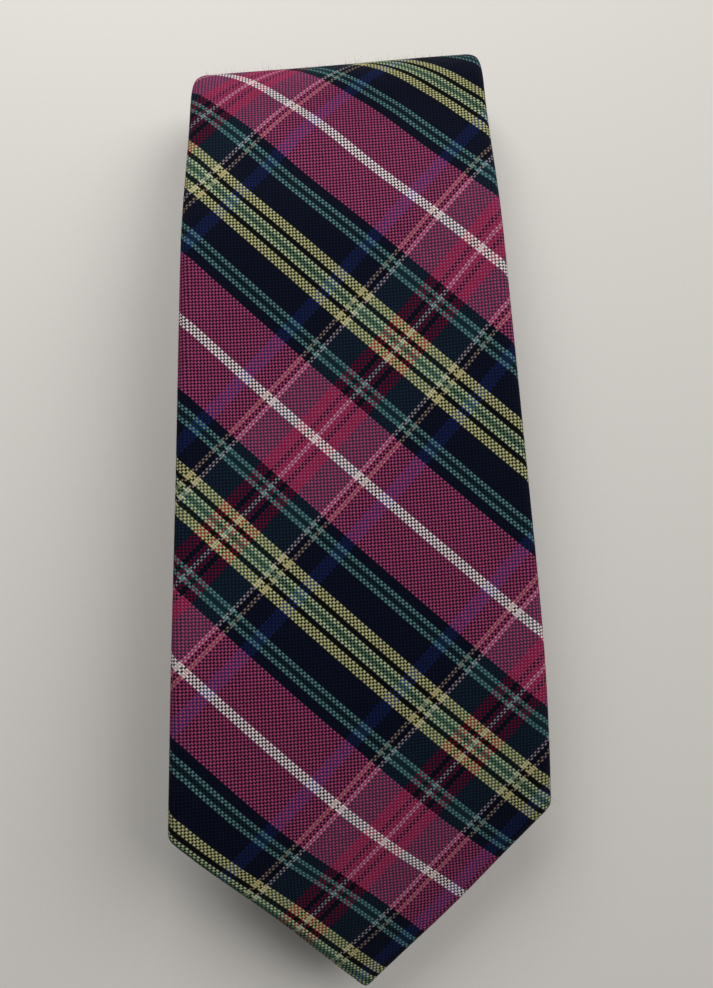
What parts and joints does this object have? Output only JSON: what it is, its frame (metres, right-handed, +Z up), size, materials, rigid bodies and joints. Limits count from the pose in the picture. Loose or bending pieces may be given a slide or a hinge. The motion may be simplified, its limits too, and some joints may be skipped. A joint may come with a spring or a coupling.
{
  "type": "folded necktie",
  "caption": "Long four-in-hand necktie in tartan wool, folded into a flat roll with its pointed front blade on top; the blade lifts about the fold.",
  "frame": {"origin": "middle of the folded tie's footprint, on the surface it lies on", "axes": "+Z up, -Y towards the front tip, +Y towards the outer fold, +X to the right with the face up"},
  "size_m": [0.089, 0.2354, 0.0296],
  "materials": {
    "tartan_wool": "plain-woven wool tartan, matte with a soft fuzz",
    "wool_interlining": "brushed cream wool canvas",
    "satin_tipping": "navy satin lining, soft sheen",
    "sewing_thread": "twisted navy sewing thread",
    "label_weave": "plain woven ribbon, blank"
  },
  "bodies": {
    "folded_tie": {"front_fold_shell": "tartan_wool", "neck_shell": "tartan_wool", "tail_blade_shell": "tartan_wool", "front_fold_interlining": "wool_interlining", "tail_interlining": "wool_interlining", "tail_tipping": "satin_tipping", "fold_slip_stitch": "sewing_thread", "tail_bar_tack": "sewing_thread"},
    "front_blade": {"front_blade_shell": "tartan_wool", "front_blade_interlining": "wool_interlining", "front_tipping": "satin_tipping", "front_slip_stitch": "sewing_thread", "front_bar_tack": "sewing_thread", "keeper_loop": "tartan_wool", "keeper_tack_left": "sewing_thread", "keeper_tack_right": "sewing_thread", "maker_label_blank": "label_weave", "care_label_blank": "label_weave"}
  },
  "joints": [
    {"name": "front_blade_lift", "type": "hinge", "parent": "folded_tie", "child": "front_blade", "pos_m": [0, 0.09885, 0.0296], "axis": [-1, 0, 0], "range_deg": [0, 165]}
  ]
}
